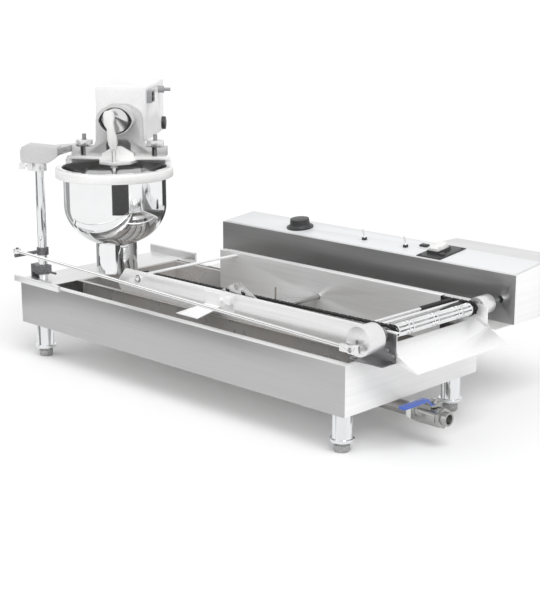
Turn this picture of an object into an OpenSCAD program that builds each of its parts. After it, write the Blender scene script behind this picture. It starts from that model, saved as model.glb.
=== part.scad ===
// Bench donut fryer with a swinging dough hopper, a chain conveyor and a rear control box.
// x runs along the case from the hopper end to the chute, y from the front to the control box, z up.
// Sizes are first written from the case's front left corner, and on_stand() moves them to the origin.

/* [Case] */
// Length of the outer case
case_l = 950; // [940:1:970]
// Width of the outer case
case_w = 391; // [385:1:400]
// Height of the case walls
case_h = 95; // [90:1:100]
// Height of the case floor above the table
stand_h = 78; // [74:1:90]
// Sheet thickness of the case, the deck, the tank and the covers
sheet = 1.5; // [1:0.1:2]
// Width of the flat rim along the front
rim_front = 20; // [14:1:24]
// Width of the rims on the other three sides
rim_side = 10; // [6:1:12]

/* [Legs] */
// Diameter of a leg tube
leg_d = 38; // [32:1:44]
// Diameter of the bead at the bottom of a leg
leg_bead_d = 46; // [45:1:52]
// Distance from the case walls to a leg's centre
leg_inset = 35; // [30:1:45]
// Height of the leg bead's lower face above the table
foot_gap = 20; // [16:1:24]
// Diameter of a foot
foot_d = 30; // [26:1:36]
// Diameter of a foot's threaded stud
stud_d = 12; // [10:1:16]

/* [Deck] */
// Right edge of the deck plate under the hopper
deck_x1 = 98; // [90:1:100]
// Overhang of the deck over the left end
deck_over = 12; // [6:1:16]
// Height of the front splash lip
lip_front_h = 10; // [6:1:14]
// Height of the rear splash lip
lip_rear_h = 22; // [16:1:26]
// Thickness of both splash lips
lip_t = 6; // [5:1:8]
// Length of both splash lips past the deck's right edge
lip_extra = 45; // [20:1:60]

/* [Tank] */
// Left wall of the frying tank
tank_x0 = 112; // [110:1:116]
// Distance from the case's right wall to the frying tank
tank_end = 25; // [24:1:35]
// Width of the frying tank
tank_w = 274; // [270:1:276]
// Depth of the frying tank below its rim
tank_h = 78; // [70:1:84]
// Width of the tank's rim flange
tank_rim = 8; // [5:1:9]
// Diameter of the heating tubes
heater_d = 8; // [6:0.5:9]

/* [Conveyor] */
// Left end of the front side plate
plate_x0 = 246; // [240:1:252]
// Overhang of the side plates past the case's right end
plate_over = 53; // [50:1:60]
// Height of the side plates' top above the case's top
plate_h = 55; // [54:1:57]
// Height of the drive shaft above the case's top
drive_h = 47; // [45:1:49]
// Distance from the plates' right end back to the drive shaft
drive_back = 31; // [29:1:32]
// Diameter of the drive shaft
drive_d = 10; // [9:0.5:11]
// Diameter of the idle shaft
idle_d = 8; // [7:0.5:9]
// Place of the idle shaft along the case
idle_x = 311; // [308:1:318]
// Pitch radius of the chain wheels
wheel_r = 10.5; // [10:0.5:11]
// Height of the chain
chain_t = 6; // [5:0.5:6]
// Width of the chain
chain_w = 8; // [6:0.5:8.5]
// Spacing of the push rods on the lower strand
rod_pitch = 75; // [60:5:90]
// Radius of the outfeed drum's bar circle
drum_r = 9.5; // [9:0.5:10]
// Diameter of an outfeed bar
bar_d = 5; // [4:0.5:5]
// Diameter of the crank drum
crank_drum_d = 54; // [48:1:58]
// Diameter of the rear coupling
coupling_d = 36; // [32:1:38]
// Place of the flipper shaft along the case
flipper_x = 590; // [560:5:610]

/* [Chute] */
// Distance the chute lip reaches past the side plates
chute_reach = 48; // [44:1:60]
// Drop of the chute lip below its upper edge
chute_drop = 37; // [34:1:39]

/* [Control box] */
// Left end of the control box
box_x0 = 198; // [190:1:210]
// Overhang of the control box past the case's right end
box_over = 56; // [50:1:60]
// Gap between the case's rear wall and the control box
box_gap = 39; // [37:1:42]
// Depth of the control box
box_d = 100; // [96:1:106]
// Height of the control box's front
box_h = 97; // [92:1:102]
// Rise of the sloping top from front to back
box_rise = 11; // [8:1:14]
// Left end of the rear gear housing
housing_x0 = 735; // [725:1:745]
// Depth of the rear gear housing
housing_d = 75; // [65:1:80]
// Diameter of the thermostat knob's skirt
knob_d = 60; // [54:1:64]
// Distance of the thermostat knob from the box's left end
knob_at = 200; // [190:1:210]

/* [Column and arm] */
// Distance of the column's axis from the case's left and front walls
column_in = 36; // [34:1:38]
// Diameter of the column
column_d = 20; // [18:1:22]
// Height of the column above the case's top
column_h = 261; // [260:1:263]
// Resting angle of the arm from the case's long side
arm_angle = 39; // [37:1:42]
// Distance from the column's axis to the hopper's axis
arm_reach = 165; // [163:1:167]
// Length of the lever that the connecting rod moves
lever_l = 67; // [64:1:70]
// Diameter of the connecting rod
rod_d = 7; // [6:0.5:9]
// Throw of the crank pin on the crank drum
crank_throw = 10; // [8:0.5:11]

/* [Hopper] */
// Outer diameter of the hopper bowl
bowl_d = 224; // [222:1:226]
// Height of the ring's top above the case's top
ring_top = 253; // [252:1:254]
// Height of the ring around the hopper
ring_h = 20; // [16:1:24]
// Outer diameter of the ring
ring_d = 254; // [250:1:256]
// Height of the straight part of the bowl
bowl_straight = 80; // [74:1:86]
// Depth of the rounded part of the bowl
bowl_round = 91; // [88:1:94]
// Outer diameter of the neck
neck_d = 90; // [86:1:92]
// Distance from the neck's bottom to the case's top
neck_clear = 25; // [23:1:28]

/* [Head] */
// Height of the plunger crank above the case's top
crank_h = 349; // [348:1:352]
// Throw of the plunger crank
plunger_throw = 13; // [12:0.5:13]
// Distance between the plunger link's pins
link_l = 66.5; // [66:0.5:67]
// Width of the head housing
head_w = 111; // [104:1:114]
// Depth of the head housing
head_d = 230; // [210:5:240]
// Height of the head housing's top above the case's top
head_top = 415; // [412:1:420]

/* [Drain] */
// Outer diameter of the drain pipe
pipe_d = 26; // [24:1:27]
// Bore of the drain outlet
outlet_d = 18.6; // [16:0.2:19]
// Distance of the drain from the case's front
drain_y = 170; // [150:1:190]
// Length of the valve lever
valve_lever_l = 95; // [85:1:105]

/* [Hidden] */
$fn = 64;
eps = 0.3;
fit = 0.05;
cut = 1;

// Main levels
case_top = stand_h + case_h;
deck_top = case_top + sheet;
tank_top = case_top + 3;
tank_mid = 221;
tank_y0 = tank_mid - tank_w / 2;
tank_y1 = tank_mid + tank_w / 2;
tank_floor = tank_top - tank_h;
tank_x1 = case_l - tank_end;
plate_top = case_top + plate_h;
plate_x1 = case_l + plate_over;
crease_z = plate_top - 33;
plate_out = 9;
front_y = tank_y0 - plate_out;
plate_mid = 210.5;
rear_y = 2 * plate_mid - front_y;
belt_mid = 214.5;

// Chain path: drive wheel, idle wheel and the two lower turns
drive_x = plate_x1 - drive_back;
drive_z = case_top + drive_h;
idle_z = drive_z - 7;
low_z = tank_floor + 48;
low_x0 = idle_x + 45;
low_x1 = tank_x1 - 135;
path = [[drive_x, drive_z], [idle_x, idle_z], [low_x0, low_z], [low_x1, low_z]];
wheel_in = wheel_r - chain_t / 2 - 0.4;
crank_y = tank_y0 + sheet + 0.5;
crank_t = 1.6;
guide_y = crank_y + crank_t + 0.4;
guide_t = 2;
chain_y = guide_y + guide_t + 1;
chain_y1 = chain_y + chain_w;
sprocket_t = 4;

// Control box and the frame of the whole machine
box_y0 = case_w + box_gap;
box_y1 = box_y0 + box_d;
box_x1 = case_l + box_over;
max_y = box_y1 + housing_d;
chute_x1 = plate_x1 + chute_reach;
lever_y = column_in - lever_l;
rod_end_r = 8;
min_y = lever_y - rod_end_r;

// Swinging head: local x along the arm, local y away from the front, origin on the column's axis
column_z1 = case_top + column_h;
ring_z1 = case_top + ring_top;
ring_z0 = ring_z1 - ring_h;
bridge_z1 = ring_z1 + 16;
bridge_t = 6;
ear_h = 20;
ear_top = bridge_z1 + ear_h;
yoke_y0 = 50;
yoke_t = 36;
head_y0 = yoke_y0 + yoke_t;
crank_z = case_top + crank_h;
nut_x = 79;
nut_y = 65;
lid_over = 1;
head_left = column_in + (arm_reach - head_w / 2 - lid_over) * cos(arm_angle)
  - (head_y0 + head_d + lid_over) * sin(arm_angle);
module on_stand() translate([-(chute_x1 + head_left) / 2, -(max_y + min_y) / 2, 0]) children();
module on_arm() translate([column_in, column_in, 0]) rotate([0, 0, arm_angle]) children();

// Common shapes
module slab(a, b) translate(a) cube(b - a);
module along_y(y0, y1, r) translate([0, y0, 0]) rotate([-90, 0, 0]) cylinder(h = y1 - y0, r = r);
module along_x(x0, x1, r) translate([x0, 0, 0]) rotate([0, 90, 0]) cylinder(h = x1 - x0, r = r);
module xz_sheet(y0, y1, pts) translate([0, y1, 0]) rotate([90, 0, 0]) linear_extrude(y1 - y0) polygon(pts);
module yz_sheet(x0, x1, pts) translate([x0, 0, 0]) rotate([90, 0, 90]) linear_extrude(x1 - x0) polygon(pts);
module to_rear(mid) translate([0, 2 * mid, 0]) mirror([0, 1, 0]) children();
module both_sides() {
  children();
  to_rear(belt_mid) children();
}
function normal(a, b) = atan2(b[0] - a[0], a[1] - b[1]) - 180;
function turn(from, to) = (to - from + 720) % 360;
function belt(c, r, n = 8) = [
  for (i = [0:len(c) - 1])
    let(a0 = normal(c[(i + len(c) - 1) % len(c)], c[i]), t = turn(a0, normal(c[i], c[(i + 1) % len(c)])))
      for (k = [0:n]) c[i] + r * [cos(a0 + t * k / n), sin(a0 + t * k / n)]
];

// Case, tank rails and legs
drain_x = case_l - 82;
module case_shell() color("silver") on_stand() {
  difference() {
    slab([0, 0, stand_h], [case_l, case_w, case_top]);
    slab([sheet, sheet, stand_h + sheet], [case_l - sheet, case_w - sheet, case_top - sheet]);
    slab([rim_side, rim_front, stand_h + sheet], [case_l - rim_side, case_w - rim_side, case_top + cut]);
    translate([drain_x, drain_y, stand_h - cut]) cylinder(h = 2 * cut + sheet, d = pipe_d + 4);
  }
  for (y = [tank_y0 + 26, tank_y1 - 46]) difference() {
    slab([tank_x0 + 30, y, stand_h + sheet], [tank_x1 - 30, y + 20, tank_floor]);
    slab([tank_x0 + 29, y + 2, stand_h + sheet + 2], [tank_x1 - 29, y + 18, tank_floor - 2]);
  }
}
leg_spots = [
  [leg_inset, leg_inset],
  [case_l - leg_inset, leg_inset],
  [leg_inset, case_w - leg_inset],
  [case_l - leg_inset, case_w - leg_inset]
];
module leg_tubes() color("silver") on_stand() for (p = leg_spots) translate([p[0], p[1], 0]) difference() {
  union() {
    translate([0, 0, foot_gap + 5]) cylinder(h = stand_h - foot_gap - 5, d = leg_d);
    translate([0, 0, foot_gap]) cylinder(h = 6, d = leg_bead_d);
  }
  translate([0, 0, foot_gap - cut]) cylinder(h = 45 + cut, r = stud_d / 2 + fit);
}
module foot(i) color("gainsboro") on_stand() translate([leg_spots[i][0], leg_spots[i][1], 0]) {
  cylinder(h = 4, d1 = foot_d - 4, d2 = foot_d);
  translate([0, 0, 4]) cylinder(h = foot_gap - 10, d = foot_d);
  translate([0, 0, foot_gap - 6]) cylinder(h = 6, d = foot_d - 2, $fn = 6);
  translate([0, 0, foot_gap - cut]) cylinder(h = 30 + cut, d = stud_d);
}
module foot_front_left() foot(0);
module foot_front_right() foot(1);
module foot_rear_left() foot(2);
module foot_rear_right() foot(3);

// Deck under the hopper, with a rounded splash lip along its front and rear edges
module lip(y, h) {
  slab([-deck_over - 4, y, case_top - 4], [deck_x1 + lip_extra, y + lip_t, case_top + h - lip_t / 2]);
  translate([0, y + lip_t / 2, case_top + h - lip_t / 2])
    along_x(-deck_over - 4, deck_x1 + lip_extra, lip_t / 2);
}
module left_deck() color("gainsboro") on_stand() {
  slab([-deck_over, -lip_t, case_top], [deck_x1, case_w + lip_t, deck_top]);
  lip(-lip_t, lip_front_h);
  lip(case_w, lip_rear_h);
}

// Frying tank with its heater and temperature probe
module fry_tank() color("darkgray") on_stand() difference() {
  union() {
    slab([tank_x0, tank_y0, tank_floor], [tank_x1, tank_y1, tank_top]);
    slab([tank_x0 - tank_rim, tank_y0 - tank_rim, tank_top - sheet],
      [tank_x1 + tank_rim, tank_y1 + tank_rim, tank_top]);
  }
  slab([tank_x0 + sheet, tank_y0 + sheet, tank_floor + sheet],
    [tank_x1 - sheet, tank_y1 - sheet, tank_top + cut]);
  translate([drain_x, drain_y, tank_floor - cut]) cylinder(h = 2 * cut + sheet, d = outlet_d);
}
heat_z = tank_floor + sheet + 14;
heat_pitch = 60;
heat_x0 = tank_x0 + 60;
heat_x1 = tank_x1 - 100;
heat_y0 = tank_mid - 1.5 * heat_pitch;
probe_x = 682;
probe_y = chain_y1 + 5;
module heating_element() color("dimgray") on_stand() {
  for (k = [0:1]) translate([0, heat_y0 + 2 * k * heat_pitch, heat_z]) {
    for (s = [0, heat_pitch]) translate([0, s, 0]) along_x(heat_x0 - 0.01, heat_x1, heater_d / 2);
    translate([heat_x0, heat_pitch / 2, 0]) rotate([0, 0, 90])
      rotate_extrude(angle = 180) translate([heat_pitch / 2, 0]) circle(d = heater_d);
    for (s = [0, heat_pitch]) translate([heat_x1 - 30, s, -14]) cylinder(h = 14, r = 3);
  }
  slab([heat_x1 - 4, heat_y0 - 8, heat_z - 6], [heat_x1 + 8, tank_y1 - sheet, heat_z + 6]);
  translate([probe_x, probe_y, heat_z + 8]) cylinder(h = plate_top + 24 - heat_z - 8, d = 3);
  slab([probe_x - 4, guide_y + guide_t, idle_z - 24], [probe_x + 4, probe_y + 3, idle_z - 16]);
}

// Conveyor frame
side_shape = [
  [front_y, plate_top], [front_y + 8, plate_top], [front_y + 8, plate_top - sheet],
  [front_y + sheet, plate_top - sheet], [front_y + sheet, crease_z + 0.3],
  [tank_y0 + 0.9, tank_top], [tank_y0 - 0.7, tank_top], [front_y, crease_z]
];
spacer_at = [[idle_x + 60, plate_top - 24], [flipper_x + 130, plate_top - 24]];
bush_wall = 4;
module plate_cuts() {
  translate([drive_x, 0, drive_z]) along_y(front_y - cut, tank_y0 + 2, drive_d / 2 + bush_wall + fit);
  translate([idle_x, 0, idle_z]) along_y(front_y - cut, tank_y0 + 2, idle_d / 2 + bush_wall + fit);
  xz_sheet(front_y - cut, tank_y0 + 30, [
    [plate_x0 - cut, plate_top - 28], [plate_x0, plate_top - 28],
    [plate_x0 + 25, plate_top + cut], [plate_x0 - cut, plate_top + cut]
  ]);
}
module front_side_plate() color("whitesmoke") on_stand() difference() {
  yz_sheet(plate_x0, plate_x1, side_shape);
  plate_cuts();
}
rear_x0 = 285;
rear_flange_x1 = drive_x - 20;
rail_x0 = 338;
rail_w = 12;
rail_t = 2.5;
cover_x0 = idle_x - 15;
cover_x1 = drive_x - 67;
cover_y = 2 * belt_mid - chain_y1 - 3;
cover_z0 = low_z - 4;
cover_z1 = plate_top + 7;
leg_y = 2 * belt_mid - guide_y;
rear_shape = [
  [rear_y - sheet, plate_top], [rear_y + 24, plate_top], [rear_y + 24, plate_top - sheet],
  [rear_y, plate_top - sheet], [rear_y, crease_z], [tank_y1 + 0.2, tank_top],
  [tank_y1 - 1.4, tank_top], [rear_y - sheet, crease_z + 0.3]
];
module rear_side_plate() color("whitesmoke") on_stand() {
  difference() {
    yz_sheet(rear_x0, plate_x1, rear_shape);
    slab([rear_flange_x1, rear_y, plate_top - 3], [plate_x1 + cut, rear_y + 30, plate_top + cut]);
    to_rear(plate_mid) plate_cuts();
  }
  slab([rail_x0, front_y, plate_top], [rail_x0 + rail_w, cover_y + 0.5, plate_top + rail_t]);
  difference() {
    slab([cover_x0, cover_y, cover_z0], [cover_x1, cover_y + sheet, cover_z1]);
    translate([flipper_x, 0, flipper_z]) along_y(cover_y - cut, cover_y + 3, flipper_d / 2 + 0.5);
  }
  slab([cover_x0, cover_y, cover_z1 - sheet], [cover_x1, rear_y - sheet, cover_z1]);
  slab([idle_x + 25, leg_y, plate_top - 14], [cover_x1, rear_y - sheet + 0.01, cover_z1]);
}
bracket_x0 = case_l - 45;
bracket_y0 = front_y - 38;
end_screws = [[plate_x1 - 18, case_top + 21], [plate_x1 - 6, case_top + 12]];
module end_bracket() color("gray") on_stand() {
  translate([0, 0, case_top]) linear_extrude(sheet) polygon([
    [bracket_x0, front_y], [bracket_x0 + 22, bracket_y0], [plate_x1, bracket_y0], [plate_x1, front_y]
  ]);
  difference() {
    slab([bracket_x0 + 20, front_y - sheet, case_top], [plate_x1, front_y, plate_top - 2]);
    translate([drive_x, 0, drive_z]) along_y(front_y - 4, front_y + cut, drive_d / 2 + bush_wall + fit);
    for (s = end_screws) translate([s[0], 0, s[1]]) along_y(front_y - 4, front_y + cut, 2.5 + fit);
  }
}
module bush(x, z, d, face, hub_end) translate([x, 0, z]) difference() {
  union() {
    along_y(face - 5, face, d / 2 + 8);
    along_y(face - 0.01, hub_end, d / 2 + bush_wall);
  }
  along_y(face - 6, hub_end + cut, d / 2 + fit);
}
module shaft_bearings() color("darkgray") on_stand() {
  bush(drive_x, drive_z, drive_d, front_y - sheet, front_y + sheet + 3);
  translate([idle_x, 0, idle_z]) difference() {
    union() {
      along_y(front_y, front_y + sheet + 0.01, idle_d / 2 + bush_wall);
      along_y(front_y + sheet, front_y + sheet + 4, idle_d / 2 + 7);
    }
    along_y(front_y - cut, front_y + sheet + 5, idle_d / 2 + fit);
  }
  to_rear(plate_mid) bush(idle_x, idle_z, idle_d, front_y, front_y + sheet);
  to_rear(plate_mid) bush(drive_x, drive_z, drive_d, front_y, front_y + sheet);
}
module frame_bolts() color("dimgray") on_stand() {
  for (b = spacer_at) translate([b[0], 0, b[1]]) {
    along_y(front_y + sheet, guide_y, 4);
    along_y(leg_y, rear_y - sheet, 4);
  }
  for (s = end_screws) translate([s[0], 0, s[1]]) {
    along_y(front_y - sheet - 3, front_y - sheet, 4);
    along_y(front_y - sheet - 0.01, front_y, 2.5);
  }
  translate([bracket_x0 + 26, bracket_y0 + 10, deck_top]) cylinder(h = 3, r = 4);
}
flipper_z = tank_top + 2;
flipper_d = 10;
module chain_guides() color("gray") on_stand() both_sides() difference() {
  union() {
    xz_sheet(guide_y, guide_y + guide_t, belt(path, 9));
    for (p = [path[2], path[3]]) translate([p[0], 0, p[1]]) along_y(guide_y, chain_y1, wheel_in);
  }
  translate([drive_x, 0, drive_z]) along_y(guide_y - cut, guide_y + 3, drive_d / 2 + 0.5);
  translate([idle_x, 0, idle_z]) along_y(guide_y - cut, guide_y + 3, idle_d / 2 + 1);
  translate([flipper_x, 0, flipper_z]) along_y(guide_y - cut, guide_y + 3, flipper_d / 2 + fit);
}
module chains() color("black") on_stand() both_sides() difference() {
  xz_sheet(chain_y, chain_y1, belt(path, wheel_r + chain_t / 2));
  xz_sheet(chain_y - cut, chain_y1 + cut, belt(path, wheel_r - chain_t / 2));
}
rod_z = low_z - wheel_r;
module push_rods() color("silver") on_stand() {
  for (x = [low_x0 + 20:rod_pitch:low_x1]) translate([x, 0, rod_z])
    along_y(chain_y1, 2 * belt_mid - chain_y1, 2.5);
  for (s = [[drive_x - 25, 3.5], [drive_x - 44, 3]])
    translate([s[0], 0, drive_z + 9]) along_y(chain_y1, 2 * belt_mid - chain_y1, s[1]);
}
chute_z = case_top + 28;
chute_x0 = drive_x + 5;
chute_in = front_y + sheet + 4.3;
chute_x = plate_x1 + eps;
lip_z = chute_z - chute_drop;
chute_edge = chute_z - chute_drop * (chute_x - chute_x0) / (chute_x1 - chute_x0);
module discharge_chute() color("whitesmoke") on_stand() {
  intersection() {
    xz_sheet(front_y, rear_y, [
      [chute_x0, chute_z - sheet], [chute_x1, lip_z - sheet], [chute_x1, lip_z], [chute_x0, chute_z]
    ]);
    union() {
      slab([chute_x0 - cut, chute_in, stand_h], [chute_x + cut, 2 * plate_mid - chute_in, plate_top]);
      slab([chute_x, front_y, stand_h], [chute_x1 + cut, rear_y, plate_top]);
    }
  }
  for (y = [front_y, rear_y - sheet]) xz_sheet(y, y + sheet, [
    [chute_x, chute_edge - 16], [chute_x1 - 1, lip_z - sheet], [chute_x1 - 1, lip_z], [chute_x, chute_edge]
  ]);
}

// Drive shaft with what turns on it
drum_t = 42;
drum_y0 = front_y - 25 - drum_t;
coupling_y0 = rear_y + 5.5;
coupling_t = 38;
shaft_y1 = box_y0 + 22;
module wheel(y0, y1, r, d) difference() {
  along_y(y0, y1, r);
  along_y(y0 - cut, y1 + cut, d / 2 + fit);
}
module drive_shaft() color("silver") on_stand() translate([drive_x, 0, drive_z]) {
  along_y(drum_y0 + 30, shaft_y1, drive_d / 2);
  both_sides() along_y(chain_y + (chain_w - sprocket_t) / 2, chain_y + (chain_w + sprocket_t) / 2, wheel_in);
}
pin_y = 1.5;
module shaft_drums() color("silver") on_stand() translate([drive_x, 0, drive_z]) {
  difference() {
    along_y(drum_y0, drum_y0 + drum_t, crank_drum_d / 2);
    along_y(drum_y0 + 30, drum_y0 + drum_t + cut, drive_d / 2 + fit);
    slab([-5.5, drum_y0 - cut, -crank_drum_d / 2 + 6], [5.5, drum_y0 + 5, 2]);
  }
  translate([0, 0, -crank_throw]) {
    along_y(pin_y, drum_y0 + 5.01, 4);
    along_y(drum_y0 - 3, drum_y0 + 0.01, 7, $fn = 6);
  }
  wheel(coupling_y0, coupling_y0 + coupling_t, coupling_d / 2, drive_d);
}
drum_disc_y = chain_y1 + 6;
ring_at = [belt_mid - 72, belt_mid, belt_mid + 72];
bars = 8;
module outfeed_drum() color("silver") on_stand() translate([drive_x, 0, drive_z]) difference() {
  union() {
    both_sides() along_y(drum_disc_y, drum_disc_y + 3, drum_r + bar_d / 2 + 0.5);
    for (y = ring_at) for (s = [-7, 4]) along_y(y + s, y + s + 3, drum_r + bar_d / 2 + 0.5);
    for (k = [0:bars - 1]) rotate([0, 360 / bars * (k + 0.5), 0]) translate([drum_r, 0, 0])
      along_y(drum_disc_y + 1, 2 * belt_mid - drum_disc_y - 1, bar_d / 2);
  }
  for (y = ring_at) along_y(y - 8, y + 8, drum_r - bar_d / 2 - 1);
  along_y(drum_disc_y - cut, 2 * belt_mid - drum_disc_y + cut, drive_d / 2 + fit);
}
module idle_stub(y0) translate([idle_x, 0, idle_z]) {
  along_y(y0, chain_y1 + 0.5, idle_d / 2);
  along_y(y0, y0 + 3.8, idle_d / 2 + 2.5, $fn = 6);
  along_y(chain_y + (chain_w - sprocket_t) / 2, chain_y + (chain_w + sprocket_t) / 2, wheel_in);
}
module idle_shaft() color("silver") on_stand() {
  idle_stub(front_y - 4);
  to_rear(belt_mid) idle_stub(2 * belt_mid - rear_y - 9);
}

// Flipper with its holed crank plate, and the stop clamped to the front plate
flap_l = 95;
flap_y0 = drum_disc_y + 6;
flap_drop = 10;
pole_z = plate_top - flipper_z;
module flipper() color("silver") on_stand() translate([flipper_x, 0, flipper_z]) {
  along_y(crank_y, 2 * belt_mid - guide_y, flipper_d / 2);
  rotate([0, -flap_drop, 0]) difference() {
    slab([-flap_l, flap_y0, -1], [0, 2 * belt_mid - flap_y0, 1]);
    for (x = [22:18:flap_l - 10]) for (k = [-4:4])
      translate([-x, belt_mid + 24 * k, -2]) cylinder(h = 4, r = 5, $fn = 24);
  }
  difference() {
    xz_sheet(crank_y, crank_y + crank_t, [[-14, -8], [14, -8], [61, pole_z - 2], [13, pole_z + 22],
      [-2, pole_z + 19], [-44, pole_z - 2]]);
    for (h = [[-22, 3], [3, 12], [22, 3]])
      translate([h[0], 0, pole_z + h[1]]) along_y(crank_y - cut, crank_y + 3, 6.5);
  }
}
stop_x = flipper_x - 112;
stop_w = 42;
stop_run = 41;
stop_reach = 44;
module flipper_stop() color("silver") on_stand() {
  slab([stop_x + 37, front_y - sheet, plate_top - 37], [stop_x + 120, front_y, plate_top - 5]);
  slab([stop_x + 92, front_y - 13, plate_top - 19], [stop_x + 121, front_y - sheet + 0.01, plate_top - 4]);
  translate([stop_x + 98, 0, plate_top - 12]) along_y(front_y - 18, front_y - 12.99, 5);
  intersection() {
    yz_sheet(stop_x - 5, stop_x + stop_run + stop_w, [
      [front_y, plate_top - 22], [front_y - sheet, plate_top - 22], [front_y - sheet, plate_top - 30],
      [front_y - stop_reach, case_top + 5], [front_y - stop_reach, case_top + 3.5], [front_y, plate_top - 32]
    ]);
    translate([0, 0, case_top]) linear_extrude(plate_h) polygon([
      [stop_x + stop_run, front_y], [stop_x + stop_run, front_y - sheet], [stop_x, front_y - stop_reach],
      [stop_x + 62, front_y - stop_reach],
      [stop_x + stop_run + stop_w, front_y - sheet], [stop_x + stop_run + stop_w, front_y]
    ]);
  }
}

// Drain pipe and ball valve under the outfeed end
pipe_z = stand_h - 20;
valve_x = chute_x1 - 33;
pipe_r = pipe_d / 2;
bore_r = outlet_d / 2;
pipe_x1 = valve_x - 40;
module drain_pipe() color("gray") on_stand() translate([0, drain_y, 0]) difference() {
  union() {
    translate([drain_x, 0, pipe_z]) cylinder(h = tank_floor - pipe_z, r = pipe_r);
    translate([drain_x, 0, pipe_z]) sphere(r = pipe_r);
    translate([0, 0, pipe_z]) along_x(drain_x, pipe_x1, pipe_r);
    translate([0, 0, pipe_z]) along_x(pipe_x1 - 12, pipe_x1, pipe_r + 5);
  }
  translate([drain_x, 0, pipe_z]) cylinder(h = tank_floor - pipe_z + cut, r = bore_r);
  translate([drain_x, 0, pipe_z]) sphere(r = bore_r);
  translate([0, 0, pipe_z]) along_x(drain_x, pipe_x1 + cut, bore_r);
}
ball_r = 14;
seat_r = 8;
stem_r = 4;
neck_top = 24;
module valve_body() color("darkgray") on_stand() translate([valve_x, drain_y, pipe_z]) difference() {
  union() {
    along_x(-40, -26, pipe_r + 8, $fn = 6);
    along_x(-26.01, 14, pipe_r + 6);
    along_x(13, 22, pipe_r + 7, $fn = 6);
    along_x(21.99, 33, pipe_r);
    cylinder(h = neck_top, r = 8);
  }
  sphere(r = ball_r + fit);
  along_x(-41, -ball_r - 0.5, bore_r);
  along_x(-ball_r - 1, ball_r + 1, seat_r);
  along_x(ball_r + 0.5, 34, bore_r);
  cylinder(h = neck_top + cut, r = stem_r + fit);
}
module valve_ball() color("silver") on_stand() translate([valve_x, drain_y, pipe_z]) difference() {
  union() {
    sphere(r = ball_r);
    cylinder(h = neck_top + 9, r = stem_r);
  }
  along_y(-ball_r - cut, ball_r + cut, bore_r);
}
module valve_lever() color("blue") on_stand() translate([valve_x, drain_y, pipe_z + neck_top + fit]) {
  difference() {
    union() {
      cylinder(h = 4, r = 11);
      yz_sheet(-7, 7, [
        [-8, 0], [-8, 3], [-17, 3], [-27, 15], [-valve_lever_l, 15],
        [-valve_lever_l, 10], [-29, 10], [-20, 0]
      ]);
    }
    translate([0, 0, -cut]) cylinder(h = 6, r = stem_r + fit);
  }
  translate([0, 0, 3.99]) difference() {
    cylinder(h = 5, r = 7, $fn = 6);
    translate([0, 0, -cut]) cylinder(h = 7, r = stem_r + fit);
  }
}

// Control box on its shelf behind the case
shelf_t = 2;
module box_shelf() color("silver") on_stand() {
  slab([box_x0, case_w - rim_side, case_top], [box_x1 - 6, box_y1, case_top + shelf_t]);
  slab([housing_x0 + 2, box_y1 - 1, case_top], [box_x1 - 6, max_y - 3, case_top + shelf_t]);
  for (x = [box_x0 + 60, case_l / 2 + 60, case_l - 60]) yz_sheet(x, x + 3, [
    [case_w, case_top], [case_w, case_top - 60], [case_w + 8, case_top - 60],
    [box_y1 - 20, case_top - 8], [box_y1 - 20, case_top]
  ]);
}
box_z0 = case_top + shelf_t;
box_z1 = box_z0 + box_h;
slope = atan(box_rise / box_d);
knob_x = box_x0 + knob_at;
knob_in = 48;
spindle_r = 4;
module on_slope(x, d) translate([x, box_y0, box_z1]) rotate([slope, 0, 0]) translate([0, d, 0]) children();
module spindle_hole() on_slope(knob_x, knob_in) translate([0, 0, -4]) cylinder(h = 8, r = spindle_r + fit);
module control_box() color("silver") on_stand() difference() {
  yz_sheet(box_x0, box_x1, [
    [box_y0, box_z0], [box_y0, box_z1], [box_y1, box_z1 + box_rise], [box_y1, box_z0]
  ]);
  yz_sheet(box_x0 + sheet, box_x1 - sheet, [[box_y0 + sheet, box_z0 - cut], [box_y0 + sheet, box_z1 - sheet],
    [box_y1 - sheet, box_z1 + box_rise - sheet * 1.2], [box_y1 - sheet, box_z0 - cut]]);
  translate([drive_x, 0, drive_z]) along_y(box_y0 - cut, box_y0 + 3, drive_d / 2 + 2);
  spindle_hole();
}
module gear_housing() color("gainsboro") on_stand() difference() {
  slab([housing_x0, box_y1, box_z0], [box_x1, max_y, box_z1 + box_rise]);
  slab([housing_x0 + sheet, box_y1 + sheet, box_z0 - cut],
    [box_x1 - sheet, max_y - sheet, box_z1 + box_rise - sheet]);
}
panel_t = 1;
module control_panel() color("whitesmoke") on_stand() difference() {
  on_slope(0, 0) slab([box_x0 + 6, 5, 0], [box_x1 - 6, box_d - 5, panel_t]);
  spindle_hole();
}
module gear_motor() color("dimgray") on_stand() translate([drive_x, 0, drive_z]) {
  difference() {
    slab([-24, box_y0 + 8, -38], [24, box_y0 + 66, 34]);
    along_y(box_y0 + 7, shaft_y1 + 1, drive_d / 2 + fit);
  }
  slab([-20, box_y0 + 12, box_z0 - drive_z], [20, box_y0 + 60, -37.99]);
  translate([0, box_y0 + 40, 0]) along_x(-150, -23.99, 28);
}
switch_x = housing_x0 + 55;
switch_in = 51;
toggle_x = [knob_x + 192, knob_x + 304];
toggle_in = 44;
lamp_x = toggle_x[1] + 31;
pivot_z = 6;
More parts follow.
